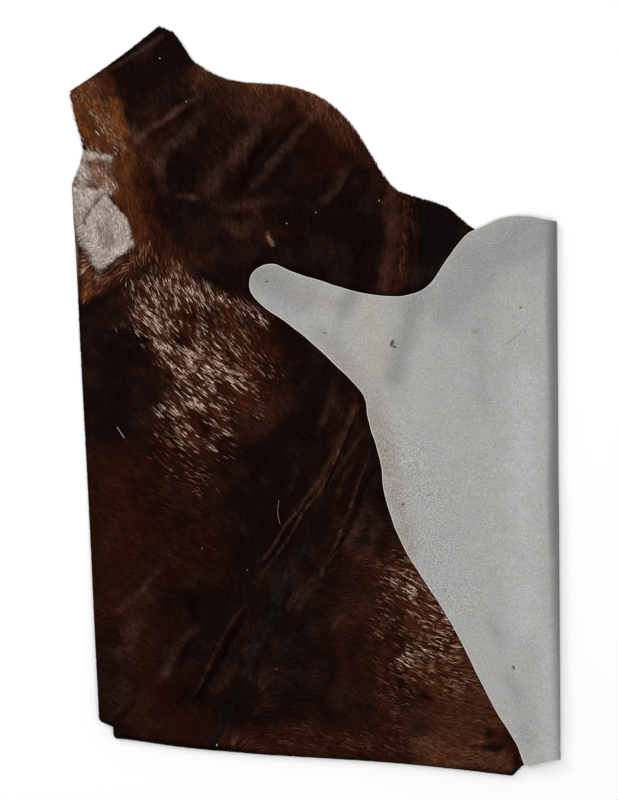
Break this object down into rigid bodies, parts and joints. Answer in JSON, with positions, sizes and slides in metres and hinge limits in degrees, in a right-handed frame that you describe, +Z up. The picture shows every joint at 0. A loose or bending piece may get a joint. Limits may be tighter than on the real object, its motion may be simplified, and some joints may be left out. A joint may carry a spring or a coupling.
{
  "type": "cowhide rug",
  "caption": "Whole cowhide floor rug, lying folded: flank, leg tip and front half turned under, the other flank turned over with its suede side up.",
  "frame": {"origin": "middle of the folded hide's outline, at the level of its underside", "axes": "+Z up through the layers, +Y along the longer side, towards the turned-under hind leg, +X towards the turned-over flank"},
  "size_m": [1.0744, 1.6424, 0.0327],
  "materials": {
    "hide": "short glossy chestnut coat on one side, pale grey suede on the other"
  },
  "bodies": {
    "root": {"hide": "hide"}
  },
  "joints": []
}
